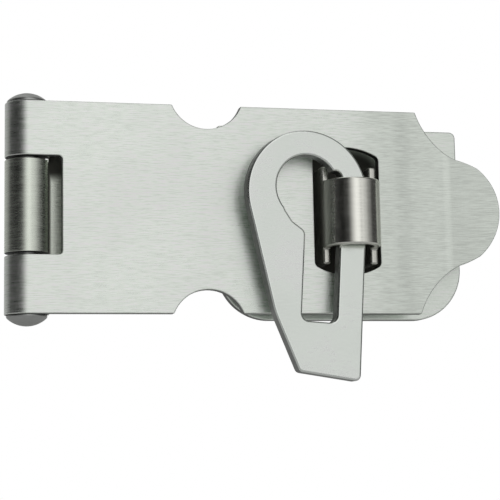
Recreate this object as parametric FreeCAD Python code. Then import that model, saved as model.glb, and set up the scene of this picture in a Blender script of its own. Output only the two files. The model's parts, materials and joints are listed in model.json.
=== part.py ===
import FreeCAD, Part

import math
import os

# Stainless-steel hasp and staple, closed and hooked, with the size of a nominal 4 inch hasp.
# Frame, in millimetres: the mounting surface is the plane y = 0 and the front faces -Y. +X runs from
# the hinge towards the staple and +Z is up. The origin is the centre of the hinge leaf's screw holes.

V = FreeCAD.Vector
TOUCH = 1e-4                 # closer than this counts as touching
OVERCUT = 1.0                # how far a cutting tool runs past what it cuts

SHEET = 2.0                  # thickness of the two leaves and the staple plate
EDGE_ROUND = 0.3             # rounding of the staple plate's front edge

# Hinge
HINGE_X = -15.7              # hinge axis, left of the origin
PIN_R = 2.45
BORE_R = 2.5                 # inside of the rolled knuckles, 0.05 mm of running clearance
KNUCKLE_R = BORE_R + SHEET
AXIS_Y = -KNUCKLE_R          # the knuckles touch the mounting plane
SEAM_DEG = 28.0              # open seam where each knuckle's rolled end stops short of its leaf
HEAD_R = 4.1
HEAD_RIM = 0.5
HEAD_DOME = 1.7

# Hasp leaf
LEAF_BACK = -2.0 * KNUCKLE_R + SHEET
LEAF_FRONT = LEAF_BACK - SHEET
LEAF_HALF = 21.5             # half of the leaf's width
WINDOW_MID = 0.3             # the window and the centre knuckle sit a little above the middle
WINDOW_HALF = 10.0           # window for the centre knuckle
WINDOW_END = -9.1
WINDOW_ROUND = 0.8
NOTCH_X = 20.6
NOTCH_HALF = 7.2
NOTCH_DEPTH = 4.9
SLOT_X = 50.2
SLOT_HALF_X = 7.1
SLOT_SIDE_HALF_Z = 11.4      # straight sides of the slot
SLOT_HALF_Z = 13.4           # crown of the slot's bowed ends
SLOT_ROUND = 1.2
SHOULDER_X = 65.9            # end of the leaf's full width
SCOOP_X = 68.8               # a point on the arc scooped out between the shoulder and the waist
SCOOP_Z = 16.1
WAIST_X = 74.4
WAIST_Z = 11.4
NOSE_START_X = 76.8          # a point on the arc that turns from the waist to the nose
NOSE_START_Z = 10.5
NOSE_X = 83.2
NOSE_SIDE_X = 78.9
NOSE_SIDE_Z = 9.4
TAB_BEND_X = 72.4            # finger tab, bent slightly off the surface
TAB_BEND_DEG = 13.0
TAB_BEND_R = 9.0             # inside of the bend, on the front

# Hinge leaf
KNUCKLE_HALF = 9.4
PLATE_START = -11.1
PLATE_END = 12.4
PLATE_HALF = 18.8
PLATE_ROUND = 3.0
HINGE_HOLE_X = 6.4
HINGE_HOLE_Z = 13.0

# Staple plate
STAPLE_LEFT = 23.9
STAPLE_RIGHT = 77.4
STAPLE_TOP = 18.9
STAPLE_BOTTOM = -22.2
TOP_CORNER = 1.3
BOTTOM_CORNER = 11.0
STAPLE_HOLE_X = 15.5
STAPLE_HOLE_Z = 11.5
STAPLE_HOLE_MID = -1.7       # the screw holes are centred on the plate, a little below the staple

# Screw holes
HOLE_R = 2.1
SINK_R = 3.7
SINK_DEPTH = 1.5

# Staple loop: a strip bent to an arch, with feet wider than the bridge
LOOP_X = 50.4
LOOP_Z = -1.1                # the loop sits a little below the hinge's middle
STRIP = 1.6
ARCH_R = 4.3                 # inner radius of the half-round bridge
BRIDGE_HALF = 6.9
FOOT_HALF = 10.2
FOOT_FRONT = LEAF_FRONT - 1.2
TENON_HALF = 7.0             # the feet are riveted through the plate on narrower tenons
HOOK_AXIS_X = LOOP_X - 0.1
HOOK_AXIS_Y = LEAF_FRONT - 3.1
ARCH_FRONT = HOOK_AXIS_Y - 3.9
ARCH_Y = ARCH_FRONT + ARCH_R

# Locking hook, drawn in its own plane: u across and v up, with its arm centred on u = 0
HOOK_SHEET = 3.0
ARM_HALF = 2.85
HOOK_Z = 5.0                 # height of v = 0
RING_R = 13.05
RING_U = ARM_HALF - RING_R
RING_V = -3.0
EYE_U = -10.3
EYE_V = -1.8
EYE_R = 6.7
EYE_LOW_U = -15.5            # where the straight side under the eye leaves the circle
EYE_LOW_V = -6.2
THROAT_U = -13.3             # where it turns across towards the channel
THROAT_V = -9.1
CHANNEL_LEFT = -10.4
CHANNEL_START = -10.9
CHANNEL_TOP = 2.2
CHANNEL_BOTTOM = -29.1
CHANNEL_ROUND = 1.6
TAIL_LEFT_U = -10.4
TAIL_LEFT_V = -39.5
TAIL_MID_U = -16.3
TAIL_MID_V = -27.8
TAIL_RIGHT_V = -40.6
TAIL_ROUND = 1.2
TAIL_BEND = 20.0             # easing of the corner where the taper steepens
HOOK_EDGE = 0.5
HOOK_LEAN = 4.0              # degrees that it hangs out of plumb, its tail towards the hinge
HOOK_LIFT = 5.0              # degrees that its ring side stands off the leaf


def box(x0, x1, y0, y1, z0, z1):
    return Part.makeBox(x1 - x0, y1 - y0, z1 - z0, V(x0, y0, z0))


def rod(radius, x, y, z0, z1):
    return Part.makeCylinder(radius, z1 - z0, V(x, y, z0), V(0, 0, 1))


def rounded(corners):
    """A closed wire in the XZ plane round corners (x, z, radius), each cut by an arc tangent to its sides."""
    edges = []
    start = None
    at = None
    count = len(corners)
    for i in range(count):
        x, z, radius = corners[i]
        corner = V(x, 0, z)
        before = V(corners[i - 1][0], 0, corners[i - 1][1]) - corner
        after = V(corners[(i + 1) % count][0], 0, corners[(i + 1) % count][1]) - corner
        before.normalize()
        after.normalize()
        half = before.getAngle(after) / 2
        back = radius / math.tan(half)
        enter = corner + before * back
        leave = corner + after * back
        bisector = before + after
        bisector.normalize()
        crown = corner + bisector * (radius / math.sin(half) - radius)
        if at is None:
            start = enter
        elif (enter - at).Length > TOUCH:
            edges.append(Part.LineSegment(at, enter).toShape())
        edges.append(Part.Arc(enter, crown, leave).toShape())
        at = leave
    edges.append(Part.LineSegment(at, start).toShape())
    return Part.Wire(edges)


def outline(steps):
    """A closed wire of lines to (x, z) and arcs through (x, z) to (x, z), from the first step's point."""
    edges = []
    at = steps[0]
    for step in steps[1:]:
        start = V(at[0], 0, at[1])
        end = V(step[-2], 0, step[-1])
        if len(step) == 2:
            edges.append(Part.LineSegment(start, end).toShape())
        else:
            edges.append(Part.Arc(start, V(step[0], 0, step[1]), end).toShape())
        at = step[-2:]
    return Part.Wire(edges)


def prism(wire, y0, y1):
    """The outline, drawn in the XZ plane, made solid between two depths."""
    face = Part.Face(wire)
    face.translate(V(0, y0, 0))
    return face.extrude(V(0, y1 - y0, 0))


def rectangle(x0, x1, z0, z1, low_round, high_round):
    corners = [(x0, z0, low_round), (x1, z0, low_round), (x1, z1, high_round), (x0, z1, high_round)]
    return rounded(corners)


def seam(side):
    """The wedge left open in a knuckle: side is +1 where it faces the front, -1 where it faces the back."""
    reach = 2 * KNUCKLE_R
    spread = reach * math.tan(math.radians(SEAM_DEG))
    z0 = -LEAF_HALF - OVERCUT
    corners = [V(0, 0, z0), V(reach, 0, z0), V(reach, -side * spread, z0)]
    wedge = Part.Face(Part.makePolygon(corners + corners[:1])).extrude(V(0, 0, -2 * z0))
    wedge.translate(V(HINGE_X, AXIS_Y, 0))
    return wedge


def round_edges(shape, radius, wanted):
    return shape.makeFillet(radius, [edge for edge in shape.Edges if wanted(edge)])


def countersunk(x, z):
    """A screw hole through a plate that lies on the mounting surface, with its sink at the front."""
    hole = Part.makeCylinder(HOLE_R, 3 * SHEET, V(x, SHEET, z), V(0, -1, 0))
    sink_floor = -SHEET + SINK_DEPTH
    sink = Part.makeCone(HOLE_R, SINK_R, SINK_DEPTH, V(x, sink_floor, z), V(0, -1, 0))
    return hole.fuse(sink)


def screw_holes(middle_x, middle_z, reach_x, reach_z):
    tools = []
    for side_x in (-1, 1):
        for side_z in (-1, 1):
            tools.append(countersunk(middle_x + side_x * reach_x, middle_z + side_z * reach_z))
    return tools


def along_z(point):
    """Picks the edge that runs up through the point."""
    def wanted(edge):
        size = edge.BoundBox
        off_x = max(abs(size.XMin - point.x), abs(size.XMax - point.x))
        off_y = max(abs(size.YMin - point.y), abs(size.YMax - point.y))
        return max(off_x, off_y) < TOUCH
    return wanted


def square_to_wall(edge):
    size = edge.BoundBox
    return size.YLength > TOUCH and size.XLength < TOUCH


def at_depth(depth):
    """Picks the edges that lie wholly in the plane y = depth."""
    def wanted(edge):
        size = edge.BoundBox
        return abs(size.YMin - depth) < TOUCH and abs(size.YMax - depth) < TOUCH
    return wanted


# ---------------------------------------------------------------- hasp leaf

def leaf_outline():
    notch = []
    for side in (1, -1):
        notch.append([
            (NOTCH_X - side * NOTCH_HALF, side * LEAF_HALF),
            (NOTCH_X, side * (LEAF_HALF - NOTCH_DEPTH), NOTCH_X + side * NOTCH_HALF, side * LEAF_HALF),
        ])
    left = HINGE_X - KNUCKLE_R - OVERCUT
    return outline([
        (left, LEAF_HALF),
        *notch[0],
        (SHOULDER_X, LEAF_HALF),
        (SCOOP_X, SCOOP_Z, WAIST_X, WAIST_Z),
        (NOSE_START_X, NOSE_START_Z, NOSE_SIDE_X, NOSE_SIDE_Z),
        (NOSE_X, 0, NOSE_SIDE_X, -NOSE_SIDE_Z),
        (NOSE_START_X, -NOSE_START_Z, WAIST_X, -WAIST_Z),
        (SCOOP_X, -SCOOP_Z, SHOULDER_X, -LEAF_HALF),
        *notch[1],
        (left, -LEAF_HALF),
        (left, LEAF_HALF),
    ])


def slot_outline():
    x0 = SLOT_X - SLOT_HALF_X
    x1 = SLOT_X + SLOT_HALF_X
    z = SLOT_SIDE_HALF_Z
    return outline([
        (x0, -z),
        (x0, z),
        (SLOT_X, SLOT_HALF_Z, x1, z),
        (x1, -z),
        (SLOT_X, -SLOT_HALF_Z, x0, -z),
    ])


def leaf_strip():
    """The leaf's section, flat from the knuckle to the finger tab, which bends forward."""
    z0 = -LEAF_HALF - OVERCUT
    height = 2 * (LEAF_HALF + OVERCUT)
    bend = math.radians(TAB_BEND_DEG)
    reach = (NOSE_X - TAB_BEND_X + OVERCUT) / math.cos(bend)
    tip = V(TAB_BEND_X + reach * math.cos(bend), LEAF_FRONT - reach * math.sin(bend), z0)
    offset = V(math.sin(bend) * SHEET, math.cos(bend) * SHEET, 0)
    inner_bend = V(TAB_BEND_X + math.tan(bend / 2) * SHEET, LEAF_BACK, z0)
    corners = [
        V(HINGE_X, LEAF_FRONT, z0),
        V(TAB_BEND_X, LEAF_FRONT, z0),
        tip,
        tip + offset,
        inner_bend,
        V(HINGE_X, LEAF_BACK, z0),
    ]
    strip = Part.Face(Part.makePolygon(corners + corners[:1])).extrude(V(0, 0, height))
    for crease, radius in ((corners[1], TAB_BEND_R), (inner_bend, TAB_BEND_R + SHEET)):
        strip = round_edges(strip, radius, along_z(crease))
    return strip


def hasp_leaf():
    cut_depth = (LEAF_FRONT - LEAF_HALF, OVERCUT)
    sheet = leaf_strip().common(prism(leaf_outline(), *cut_depth))
    slot = prism(slot_outline(), *cut_depth)
    slot = round_edges(slot, SLOT_ROUND, square_to_wall)
    sheet = sheet.cut(slot)
    barrel = rod(KNUCKLE_R, HINGE_X, AXIS_Y, -LEAF_HALF, LEAF_HALF)
    leaf = sheet.fuse(barrel).cut(rod(BORE_R, HINGE_X, AXIS_Y, -LEAF_HALF - OVERCUT, LEAF_HALF + OVERCUT))
    leaf = leaf.cut(seam(-1))
    low = WINDOW_MID - WINDOW_HALF
    high = WINDOW_MID + WINDOW_HALF
    window = rectangle(HINGE_X - 2 * KNUCKLE_R, WINDOW_END, low, high, WINDOW_ROUND, WINDOW_ROUND)
    return leaf.cut(prism(window, *cut_depth)).removeSplitter()


# ---------------------------------------------------------------- hinge leaf and pin

def hinge_leaf():
    low = WINDOW_MID - KNUCKLE_HALF
    high = WINDOW_MID + KNUCKLE_HALF
    neck = box(HINGE_X, PLATE_START + OVERCUT, -SHEET, 0, low, high)
    knuckle = rod(KNUCKLE_R, HINGE_X, AXIS_Y, low, high)
    edge = rectangle(PLATE_START, PLATE_END, -PLATE_HALF, PLATE_HALF, PLATE_ROUND, PLATE_ROUND)
    plate = prism(edge, -SHEET, 0)
    leaf = plate.fuse([neck, knuckle])
    leaf = leaf.cut(rod(BORE_R, HINGE_X, AXIS_Y, -LEAF_HALF, LEAF_HALF)).cut(seam(1))
    return leaf.cut(screw_holes(0, 0, HINGE_HOLE_X, HINGE_HOLE_Z)).removeSplitter()


def pin_head(side):
    rim = Part.makeCylinder(HEAD_R, HEAD_RIM, V(HINGE_X, AXIS_Y, side * LEAF_HALF), V(0, 0, side))
    ball_r = (HEAD_R * HEAD_R + HEAD_DOME * HEAD_DOME) / (2 * HEAD_DOME)
    seat = LEAF_HALF + HEAD_RIM
    ball = Part.makeSphere(ball_r, V(HINGE_X, AXIS_Y, side * (seat + HEAD_DOME - ball_r)))
    cap = Part.makeCylinder(HEAD_R, HEAD_DOME + OVERCUT, V(HINGE_X, AXIS_Y, side * seat), V(0, 0, side))
    return rim.fuse(cap.common(ball))


def hinge_pin():
    shaft = rod(PIN_R, HINGE_X, AXIS_Y, -LEAF_HALF, LEAF_HALF)
    return shaft.fuse([pin_head(1), pin_head(-1)]).removeSplitter()


# ---------------------------------------------------------------- staple plate and loop

def tenon_slots():
    """The two slots that the loop's feet are riveted through."""
    tools = []
    for side in (-1, 1):
        x0 = LOOP_X + side * ARCH_R
        x1 = LOOP_X + side * (ARCH_R + STRIP)
        tools.append(box(min(x0, x1), max(x0, x1), -SHEET, 0, LOOP_Z - TENON_HALF, LOOP_Z + TENON_HALF))
    return tools


def staple_plate():
    middle_x = (STAPLE_LEFT + STAPLE_RIGHT) / 2
    edge = rectangle(STAPLE_LEFT, STAPLE_RIGHT, STAPLE_BOTTOM, STAPLE_TOP, BOTTOM_CORNER, TOP_CORNER)
    plate = round_edges(prism(edge, -SHEET, 0), EDGE_ROUND, at_depth(-SHEET))
    tools = screw_holes(middle_x, STAPLE_HOLE_MID, STAPLE_HOLE_X, STAPLE_HOLE_Z) + tenon_slots()
    return plate.cut(tools).removeSplitter()


def staple_loop():
    outer_r = ARCH_R + STRIP
    low = LOOP_Z - FOOT_HALF
    high = LOOP_Z + FOOT_HALF
    solid = rod(outer_r, LOOP_X, ARCH_Y, low, high)
    solid = solid.fuse(box(LOOP_X - outer_r, LOOP_X + outer_r, ARCH_Y, -SHEET, low, high))
    solid = solid.cut(rod(ARCH_R, LOOP_X, ARCH_Y, low - OVERCUT, high + OVERCUT))
    solid = solid.cut(box(LOOP_X - ARCH_R, LOOP_X + ARCH_R, ARCH_Y, OVERCUT, low - OVERCUT, high + OVERCUT))
    for side in (-1, 1):
        z0, z1 = sorted((LOOP_Z + side * BRIDGE_HALF, LOOP_Z + side * (FOOT_HALF + OVERCUT)))
        shoulder = box(LOOP_X - 2 * outer_r, LOOP_X + 2 * outer_r, ARCH_FRONT - 2 * STRIP, FOOT_FRONT, z0, z1)
        solid = solid.cut(shoulder)
    return solid.fuse(tenon_slots()).removeSplitter()


# ---------------------------------------------------------------- locking hook

def hook_outline():
    """A ring on top, with a long tail that tapers on the hinge side and is straight on the arm side."""
    top = RING_V + RING_R
    across = RING_U - TAIL_MID_U
    up = RING_V - TAIL_MID_V
    lean = math.asin(RING_R / math.hypot(across, up)) - math.atan2(across, up)
    left_at_top = TAIL_MID_U - (top - TAIL_MID_V) * math.tan(lean)
    return rounded([
        (ARM_HALF, top, RING_R),
        (left_at_top, top, RING_R),
        (TAIL_MID_U, TAIL_MID_V, TAIL_BEND),
        (TAIL_LEFT_U, TAIL_LEFT_V, TAIL_ROUND),
        (ARM_HALF, TAIL_RIGHT_V, TAIL_ROUND),
    ])


def hook_hole():
    """A round eye that narrows to a channel, so that the arm stands off the tail."""
    eye = prism(Part.Wire(Part.makeCircle(EYE_R, V(EYE_U, 0, EYE_V), V(0, 1, 0))), -HOOK_SHEET, HOOK_SHEET)
    channel = rounded([
        (CHANNEL_LEFT, CHANNEL_BOTTOM, CHANNEL_ROUND),
        (-ARM_HALF, CHANNEL_BOTTOM, CHANNEL_ROUND),
        (-ARM_HALF, CHANNEL_TOP, CHANNEL_ROUND),
        (EYE_U, CHANNEL_TOP, CHANNEL_ROUND),
        (EYE_LOW_U, EYE_LOW_V, CHANNEL_ROUND),
        (THROAT_U, THROAT_V, CHANNEL_ROUND),
        (CHANNEL_LEFT, CHANNEL_START, CHANNEL_ROUND),
    ])
    return eye.fuse(prism(channel, -HOOK_SHEET, HOOK_SHEET)).removeSplitter()


def locking_hook():
    blank = prism(hook_outline(), -HOOK_SHEET / 2, HOOK_SHEET / 2).cut(hook_hole())
    hook = round_edges(blank, HOOK_EDGE, at_depth(-HOOK_SHEET / 2))
    hook = round_edges(hook, HOOK_EDGE, at_depth(HOOK_SHEET / 2))
    hook.translate(V(0, 0, HOOK_Z))
    hook.rotate(V(0, 0, 0), V(0, 1, 0), HOOK_LEAN)
    hook.rotate(V(0, 0, 0), V(0, 0, 1), HOOK_LIFT)
    hook.translate(V(HOOK_AXIS_X, HOOK_AXIS_Y, 0))
    return hook


PARTS = {
    "hasp_leaf": hasp_leaf,
    "hinge_leaf": hinge_leaf,
    "hinge_pin": hinge_pin,
    "staple_plate": staple_plate,
    "staple_loop": staple_loop,
    "locking_hook": locking_hook,
}

os.makedirs("parts", exist_ok=True)
for name, make in PARTS.items():
    shape = make()
    shape.exportStep("parts/" + name + ".step")
    print(name, len(shape.Solids), "solid,", round(shape.Volume), "mm3, valid:", shape.isValid())
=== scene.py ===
import json
import math

import bpy
from mathutils import Matrix, Vector


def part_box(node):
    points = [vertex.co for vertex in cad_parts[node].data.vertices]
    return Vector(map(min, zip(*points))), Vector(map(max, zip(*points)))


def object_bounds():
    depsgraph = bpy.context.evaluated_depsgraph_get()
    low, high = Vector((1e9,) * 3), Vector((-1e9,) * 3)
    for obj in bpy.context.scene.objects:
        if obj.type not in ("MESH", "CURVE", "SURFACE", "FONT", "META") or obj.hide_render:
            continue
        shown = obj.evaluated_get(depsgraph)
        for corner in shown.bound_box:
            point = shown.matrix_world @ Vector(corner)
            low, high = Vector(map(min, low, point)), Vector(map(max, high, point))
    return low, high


# Hasp and staple in brushed stainless steel, closed and hooked. Metres, in the CAD frame: the mounting
# surface is y = 0, the front faces -Y, +X runs from the hinge to the staple and +Z is up.

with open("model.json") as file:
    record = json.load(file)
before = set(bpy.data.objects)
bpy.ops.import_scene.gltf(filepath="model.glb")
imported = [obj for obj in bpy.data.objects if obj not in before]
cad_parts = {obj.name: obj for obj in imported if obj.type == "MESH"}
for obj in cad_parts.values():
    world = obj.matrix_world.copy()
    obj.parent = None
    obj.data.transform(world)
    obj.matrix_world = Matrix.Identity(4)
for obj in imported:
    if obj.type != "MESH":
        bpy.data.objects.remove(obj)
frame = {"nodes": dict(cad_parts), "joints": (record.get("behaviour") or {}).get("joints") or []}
cad_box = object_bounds()
nodes = frame["nodes"]

MM = 0.001

# Camera: left of the object and a little below it
CAMERA_YAW = math.radians(14.0)
CAMERA_PITCH = math.radians(-9.0)
CAMERA_ROLL = math.radians(-1.2)
CAMERA_DISTANCE = 0.330
FOCAL_PX = 1616.0
FRAME_PX = 500.0
SENSOR_MM = 36.0
TARGET_SHIFT_X = 0.0255          # the leaf's middle lies this far right of the frame's, in frame widths
TARGET_SHIFT_Y = 0.085           # and this far above it


def make_camera():
    low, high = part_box("hasp_leaf")
    target = Vector(((low.x + high.x) / 2, low.y, 0.0))
    side = math.cos(CAMERA_PITCH)
    away = Vector((-math.sin(CAMERA_YAW) * side, -math.cos(CAMERA_YAW) * side, math.sin(CAMERA_PITCH)))
    data = bpy.data.cameras.new("camera")
    data.sensor_width = SENSOR_MM
    data.lens = FOCAL_PX / FRAME_PX * SENSOR_MM
    data.shift_x = -TARGET_SHIFT_X
    data.shift_y = -TARGET_SHIFT_Y
    data.clip_start = 10.0 * MM
    camera = bpy.data.objects.new("camera", data)
    turn = (-away).to_track_quat("-Z", "Y").to_matrix().to_4x4()
    place = Matrix.Translation(target + away * CAMERA_DISTANCE)
    camera.matrix_world = place @ turn @ Matrix.Rotation(CAMERA_ROLL, 4, "Z")
    bpy.context.scene.collection.objects.link(camera)
    bpy.context.scene.camera = camera


# ---------------------------------------------------------------- shader helpers

class Nodes:
    """Short calls that add shader nodes to one tree and return their output sockets."""

    def __init__(self, tree):
        self.tree = tree

    def new(self, kind, **settings):
        node = self.tree.nodes.new(kind)
        for name, value in settings.items():
            setattr(node, name, value)
        return node

    def join(self, source, socket):
        if isinstance(source, bpy.types.NodeSocket):
            self.tree.links.new(source, socket)
        else:
            socket.default_value = source

    def math(self, operation, a, b=0.0, c=None):
        node = self.new("ShaderNodeMath", operation=operation)
        self.join(a, node.inputs[0])
        self.join(b, node.inputs[1])
        if c is not None:
            self.join(c, node.inputs[2])
        return node.outputs[0]

    def ramp(self, value, stops):
        node = self.new("ShaderNodeValToRGB")
        node.color_ramp.interpolation = "EASE"
        elements = node.color_ramp.elements
        while len(elements) < len(stops):
            elements.new(0.5)
        for element, (position, level) in zip(elements, stops):
            element.position = position
            element.color = (level, level, level, 1.0)
        self.join(value, node.inputs["Fac"])
        return node.outputs["Color"]

    def smooth(self, value, low, high, to_low=0.0, to_high=1.0):
        node = self.new("ShaderNodeMapRange", interpolation_type="SMOOTHSTEP")
        for name, source in (("From Min", low), ("From Max", high), ("To Min", to_low), ("To Max", to_high)):
            node.inputs[name].default_value = source
        self.join(value, node.inputs["Value"])
        return node.outputs["Result"]

    def parts(self, vector):
        node = self.new("ShaderNodeSeparateXYZ")
        self.join(vector, node.inputs[0])
        return node.outputs

    def position(self, scale=(1.0, 1.0, 1.0)):
        coordinates = self.new("ShaderNodeTexCoord").outputs["Object"]
        mapping = self.new("ShaderNodeMapping")
        mapping.inputs["Scale"].default_value = scale
        self.join(coordinates, mapping.inputs["Vector"])
        return mapping.outputs["Vector"]

    def noise(self, vector, scale, detail=2.0, roughness=0.5):
        node = self.new("ShaderNodeTexNoise")
        node.inputs["Scale"].default_value = scale
        node.inputs["Detail"].default_value = detail
        node.inputs["Roughness"].default_value = roughness
        self.join(vector, node.inputs["Vector"])
        return node.outputs["Fac"]

    def mix(self, factor, a, b):
        node = self.new("ShaderNodeMix", data_type="RGBA")
        self.join(factor, node.inputs["Factor"])
        for source, socket in ((a, node.inputs[6]), (b, node.inputs[7])):
            self.join((*source, 1.0) if isinstance(source, tuple) else source, socket)
        return node.outputs[2]


# ---------------------------------------------------------------- studio

# What the steel reflects, by direction round Z as a part of a full turn: 0.5 is in front, 0.75 to the right
STUDIO_LEVELS = (
    (0.00, 0.62), (0.12, 0.36), (0.25, 0.04), (0.35, 0.01), (0.405, 0.04),
    (0.515, 0.90), (0.530, 0.87), (0.562, 0.59), (0.576, 0.67), (0.61, 0.50),
    (0.66, 0.22), (0.71, 0.05), (0.80, 0.06), (0.92, 0.48), (1.00, 0.62),
)
STUDIO_COLOR = (1.0, 1.0, 0.985, 1.0)
BELOW = (-0.40, -0.10, 0.12, 1.0)   # from the first Z of the direction to the second, it grows 0.12 to 1
FLOOR_DROP = 1.5
FLOOR_HALF = 12.0
FLOOR_GLOW = 0.04
FLOOR_GLOW_SEEN = 0.92              # more of it where the camera sees the floor itself


def make_world():
    """White to the camera. To the steel it is bright in front, dark at both sides and dimmer below."""
    world = bpy.data.worlds.new("studio")
    world.use_nodes = True
    world.node_tree.nodes.clear()
    n = Nodes(world.node_tree)
    direction = n.parts(n.new("ShaderNodeTexCoord").outputs["Generated"])
    around = n.math("ARCTAN2", direction["X"], n.math("MULTIPLY", direction["Y"], -1.0))
    turn = n.math("MULTIPLY_ADD", around, 0.5 / math.pi, 0.5)
    level = n.ramp(turn, STUDIO_LEVELS)
    height = n.smooth(direction["Z"], *BELOW)
    strength = n.math("MULTIPLY", level, height)
    lit = n.new("ShaderNodeBackground")
    lit.inputs["Color"].default_value = STUDIO_COLOR
    n.join(strength, lit.inputs["Strength"])
    seen = n.new("ShaderNodeBackground")
    seen.inputs["Color"].default_value = (1.0, 1.0, 1.0, 1.0)
    choose = n.new("ShaderNodeMixShader")
    n.join(n.new("ShaderNodeLightPath").outputs["Is Camera Ray"], choose.inputs[0])
    n.join(lit.outputs[0], choose.inputs[1])
    n.join(seen.outputs[0], choose.inputs[2])
    n.join(choose.outputs[0], n.new("ShaderNodeOutputWorld").inputs["Surface"])
    bpy.context.scene.world = world
    bpy.context.scene.view_settings.view_transform = "Standard"


def make_floor():
    """A wide pale floor, far below the hasp, which hangs as if on a door."""
    half = FLOOR_HALF
    drop = cad_box[0][2] - FLOOR_DROP
    corners = [(-half, -half, drop), (half, -half, drop), (half, half, drop), (-half, half, drop)]
    mesh = bpy.data.meshes.new("floor")
    mesh.from_pydata(corners, [], [(0, 1, 2, 3)])
    floor = bpy.data.objects.new("floor", mesh)
    bpy.context.scene.collection.objects.link(floor)
    material = bpy.data.materials.new("floor")
    material.use_nodes = True
    shader = material.node_tree.nodes["Principled BSDF"]
    shader.inputs["Base Color"].default_value = (0.93, 0.93, 0.93, 1.0)
    shader.inputs["Roughness"].default_value = 0.9
    shader.inputs["Emission Color"].default_value = (1.0, 1.0, 1.0, 1.0)
    n = Nodes(material.node_tree)
    seen = n.new("ShaderNodeLightPath").outputs["Is Camera Ray"]
    n.join(n.math("MULTIPLY_ADD", seen, FLOOR_GLOW_SEEN, FLOOR_GLOW), shader.inputs["Emission Strength"])
    mesh.materials.append(material)


# ---------------------------------------------------------------- steel

HINGE_X, HINGE_Y = frame["joints"][0]["pos_m"][:2]
NOSE_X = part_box("hasp_leaf")[1].x
LOOP_LOW, LOOP_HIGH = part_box("staple_loop")
LOOP_MIDDLE = (LOOP_LOW + LOOP_HIGH) / 2
LEAF_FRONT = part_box("hasp_leaf")[0].y

# Where each mask fades, from and to along its axis
BEYOND_KNUCKLES = (HINGE_X + 5.0 * MM, HINGE_X + 5.5 * MM)
PAST_SLOT = (NOSE_X - 34.0 * MM, NOSE_X - 24.0 * MM)
LOOP_LEGS = (LEAF_FRONT - 1.0 * MM, LEAF_FRONT + 5.0 * MM)
HINGE_FLAT = (HINGE_Y - 0.30 * MM, HINGE_Y - 0.05 * MM)
KNUCKLE_TOP = (5.6 * MM, 8.2 * MM)
KNUCKLE_ROOT = (HINGE_X + 4.6 * MM, HINGE_X + 5.4 * MM)
NEAR_KNUCKLE = (HINGE_X + 8.0 * MM, HINGE_X + 11.0 * MM)

# The patch of painted shade round the loop's feet, for the deep shade in the slot
SHADE_HALF_X = 9.5 * MM
SHADE_HALF_Z = 15.0 * MM
SHADE_POWER = 4.0                 # 2 would be an ellipse, and more is nearer a rectangle
SHADE_FADE = (0.7, 1.7)

# Colour of the painted shade that the shade masks mix in, and the roughness they add
PAINTED_SHADE_COLOR = (0.085, 0.085, 0.075)
SHADE_ROUGHER = 0.25
EDGE_ROUGHER = 0.18
GRAIN_ROUGHER = (-0.05, 0.07)    # how far the grain moves the roughness
CLOUD = 0.03                     # how far the slow patches move the tone and the roughness
CLOUD_SCALE = 60.0
FINE_SHARE = 0.80                # of the grain's height; coarse streaks make up the rest
COARSE_ALONG = 0.35
COARSE_ACROSS = 0.22

WELD_GAP = 0.002 * MM
FLAT_ANGLE = math.radians(0.6)
SHARP_ANGLE = math.radians(40)

# A shallow dip that the press leaves across the leaf, as two slopes: start and end along X, and rise
PRESS_LINES = (
    (NOSE_X - 22.5 * MM, NOSE_X - 18.5 * MM, -0.16 * MM),
    (NOSE_X - 17.5 * MM, NOSE_X - 11.5 * MM, 0.10 * MM),
)


def steel(name, color, grain_scale, roughness, grain_depth, streaks, edge_and_gap_color, shade_mask=None, press_lines=()):
    """Brushed steel, with grain along X and dark edges, also painted shade in the gaps between knuckles; the
    mask function gives where painted shade darkens it and it is rougher.
    """
    material = bpy.data.materials.new(name)
    material.use_nodes = True
    tree = material.node_tree
    n = Nodes(tree)
    shader = tree.nodes["Principled BSDF"]
    along, across = grain_scale
    fine = n.noise(n.position((along, along, across)), 1.0, 3.0, 0.62)
    long, wide = along * COARSE_ALONG, across * COARSE_ACROSS
    coarse = n.noise(n.position((long, long, wide)), 1.0, 2.0, 0.5)
    cloud = n.noise(n.position((CLOUD_SCALE, CLOUD_SCALE, CLOUD_SCALE)), 1.0, 3.0, 0.55)
    grain = n.math("MULTIPLY_ADD", fine, FINE_SHARE, n.math("MULTIPLY", coarse, 1.0 - FINE_SHARE))
    tone = n.smooth(grain, 0.32, 0.68, -streaks, streaks)
    tone = n.math("ADD", tone, n.smooth(cloud, 0.3, 0.7, -CLOUD, CLOUD))
    tone = n.math("ADD", tone, 1.0)
    scaled = n.new("ShaderNodeVectorMath", operation="SCALE")
    scaled.inputs[0].default_value = color
    n.join(tone, scaled.inputs["Scale"])
    # Dark edges: partly the cut finish, partly painted shade on the knuckle ends for the gaps between them
    edge = cut_edge_and_gap_shade(n)
    tint = n.mix(edge, scaled.outputs[0], edge_and_gap_color)
    rough = n.smooth(grain, 0.3, 0.7, roughness + GRAIN_ROUGHER[0], roughness + GRAIN_ROUGHER[1])
    rough = n.math("ADD", rough, n.smooth(cloud, 0.3, 0.7, -CLOUD, CLOUD))
    rough = n.math("MULTIPLY_ADD", edge, EDGE_ROUGHER, rough)
    # Painted shade: the mask darkens the colour and adds roughness
    if shade_mask:
        amount = shade_mask(n)
        tint = n.mix(amount, tint, PAINTED_SHADE_COLOR)
        rough = n.math("MULTIPLY_ADD", amount, SHADE_ROUGHER, rough)
    n.join(tint, shader.inputs["Base Color"])
    n.join(rough, shader.inputs["Roughness"])
    shader.inputs["Metallic"].default_value = 1.0
    bump = n.new("ShaderNodeBump")
    bump.inputs["Strength"].default_value = 0.6
    bump.inputs["Distance"].default_value = grain_depth
    n.join(grain, bump.inputs["Height"])
    if press_lines:
        n.join(pressed(n, press_lines), bump.inputs["Normal"])
    n.join(bump.outputs["Normal"], shader.inputs["Normal"])
    return material


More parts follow.
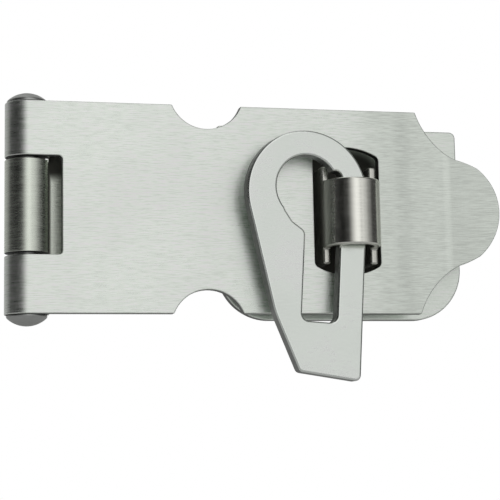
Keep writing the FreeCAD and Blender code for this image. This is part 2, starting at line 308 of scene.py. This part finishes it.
def cut_edge_and_gap_shade(n):
    """1 on the edges painted dark, partly for their rougher cut finish and partly as painted shade in the
    gaps between the knuckles: faces along +Z or -Z and, beyond the knuckles, all that turn well away from Y.
    """
    normal = n.parts(n.new("ShaderNodeTexCoord").outputs["Normal"])
    end = n.smooth(n.math("ABSOLUTE", normal["Z"]), 0.75, 0.95)
    side = n.smooth(n.math("ABSOLUTE", normal["Y"]), 0.25, 0.75, 1.0, 0.0)
    beyond = n.smooth(n.parts(n.position())["X"], *BEYOND_KNUCKLES)
    return n.math("MAXIMUM", end, n.math("MULTIPLY", side, beyond))


def pressed(n, lines):
    """The normal of a sheet that the press has left very slightly wavy."""
    x = n.parts(n.position())["X"]
    height = 0.0
    for start, end, rise in lines:
        height = n.math("ADD", n.smooth(x, start, end, 0.0, rise), height)
    bump = n.new("ShaderNodeBump")
    bump.inputs["Strength"].default_value = 1.0
    bump.inputs["Distance"].default_value = 1.0
    n.join(height, bump.inputs["Height"])
    return bump.outputs["Normal"]


def facing_front(n):
    """1 on faces that look forwards, 0 on the sides and the back."""
    return n.smooth(n.parts(n.new("ShaderNodeTexCoord").outputs["Normal"])["Y"], -0.7, -0.3, 1.0, 0.0)


def painted_shade_round_loop(n):
    """Painted shade on the staple plate's front, in a rounded patch round the loop's feet, for the deep
    shade in the slot.
    """
    place = n.parts(n.position())
    across = n.math("DIVIDE", n.math("SUBTRACT", place["X"], LOOP_MIDDLE.x), SHADE_HALF_X)
    up = n.math("DIVIDE", n.math("SUBTRACT", place["Z"], LOOP_MIDDLE.z), SHADE_HALF_Z)
    across = n.math("POWER", n.math("ABSOLUTE", across), SHADE_POWER)
    up = n.math("POWER", n.math("ABSOLUTE", up), SHADE_POWER)
    patch = n.smooth(n.math("ADD", across, up), *SHADE_FADE, 1.0, 0.0)
    return n.math("MULTIPLY", patch, facing_front(n))


def painted_shade_past_slot(n):
    """The leaf is painted a little darker, as shade, and made a little rougher from the slot to the end of
    the tab.
    """
    return n.smooth(n.parts(n.position())["X"], *PAST_SLOT, 0.0, 0.12)


def painted_shade_on_legs(n):
    """The same painted shade on the loop's legs, from the plate up to the front of the leaf."""
    return n.smooth(n.parts(n.position())["Y"], *LOOP_LEGS, 0.0, 0.85)


def painted_shade_by_knuckle(n):
    """Painted shade on the hinge leaf's flat beside its knuckle, darkest by the knuckle's upper end; it is
    also rougher there.
    """
    place = n.parts(n.position())
    flat = n.smooth(place["Y"], *HINGE_FLAT)
    top = n.smooth(place["Z"], *KNUCKLE_TOP, 0.10, 1.0)
    root = n.smooth(place["X"], *KNUCKLE_ROOT, 1.0, 0.0)
    near = n.smooth(place["X"], *NEAR_KNUCKLE, 1.0, 0.0)
    shade = n.math("MULTIPLY", n.math("MAXIMUM", top, root), near)
    return n.math("MULTIPLY", n.math("MULTIPLY", flat, shade), facing_front(n))


def dress(node, material, bevel):
    """Welds the imported facets, breaks any edge that the part leaves sharp and gives the node its steel."""
    piece = nodes[node]
    weld = piece.modifiers.new("weld", "WELD")
    weld.merge_threshold = WELD_GAP
    if bevel:
        flat = piece.modifiers.new("flat", "DECIMATE")
        flat.decimate_type = "DISSOLVE"
        flat.angle_limit = FLAT_ANGLE
        edges = piece.modifiers.new("edges", "BEVEL")
        edges.width = bevel
        edges.segments = 3
        edges.limit_method = "ANGLE"
        edges.angle_limit = SHARP_ANGLE
        edges.miter_outer = "MITER_ARC"
    faces = piece.modifiers.new("faces", "WEIGHTED_NORMAL")
    faces.mode = "FACE_AREA"
    faces.weight = 100
    for polygon in piece.data.polygons:
        polygon.use_smooth = True
    piece.data.materials.clear()
    piece.data.materials.append(material)


def dress_all():
    # Edge colour: partly the rougher cut finish, partly painted shade in the gaps between the knuckles
    dark_cut_edge_and_gap_shade = (0.20, 0.205, 0.20)
    brushed = (330.0, 5200.0)        # grain per metre, along X and across it
    # The leaf's mask paints shade from the slot to the tab's end
    leaf = steel(
        "leaf_steel", color=(0.92, 0.975, 0.915), grain_scale=brushed, roughness=0.32,
        grain_depth=0.006 * MM, streaks=0.19, edge_and_gap_color=dark_cut_edge_and_gap_shade, shade_mask=painted_shade_past_slot, press_lines=PRESS_LINES,
    )
    # The hinge leaf's mask paints shade beside its knuckle, seen through the window
    hinge = steel(
        "hinge_steel", color=(0.86, 0.905, 0.82), grain_scale=brushed, roughness=0.28,
        grain_depth=0.004 * MM, streaks=0.12, edge_and_gap_color=dark_cut_edge_and_gap_shade, shade_mask=painted_shade_by_knuckle,
    )
    # The plate's mask paints shade round the loop's feet
    plate = steel(
        "plate_steel", color=(0.89, 0.945, 0.885), grain_scale=brushed, roughness=0.32,
        grain_depth=0.005 * MM, streaks=0.13, edge_and_gap_color=dark_cut_edge_and_gap_shade, shade_mask=painted_shade_round_loop,
    )
    hook = steel(
        "hook_steel", color=(0.95, 1.0, 0.955), grain_scale=(500.0, 2200.0), roughness=0.21,
        grain_depth=0.0003 * MM, streaks=0.015, edge_and_gap_color=(0.30, 0.31, 0.30),
    )
    # The loop's mask paints shade on its legs down in the slot
    staple = steel(
        "staple_steel", color=(0.93, 0.93, 0.87), grain_scale=(300.0, 3000.0), roughness=0.17,
        grain_depth=0.002 * MM, streaks=0.05, edge_and_gap_color=(0.86, 0.86, 0.80), shade_mask=painted_shade_on_legs,
    )
    pin = steel(
        "pin_steel", color=(0.52, 0.53, 0.52), grain_scale=(900.0, 900.0), roughness=0.34,
        grain_depth=0.004 * MM, streaks=0.05, edge_and_gap_color=(0.50, 0.51, 0.50),
    )
    dress("hasp_leaf", leaf, 0.22 * MM)
    dress("hinge_leaf", hinge, 0.2 * MM)
    dress("staple_plate", plate, 0.15 * MM)
    dress("staple_loop", staple, 0.45 * MM)
    dress("locking_hook", hook, None)
    dress("hinge_pin", pin, 0.2 * MM)


make_camera()
make_world()
make_floor()
dress_all()
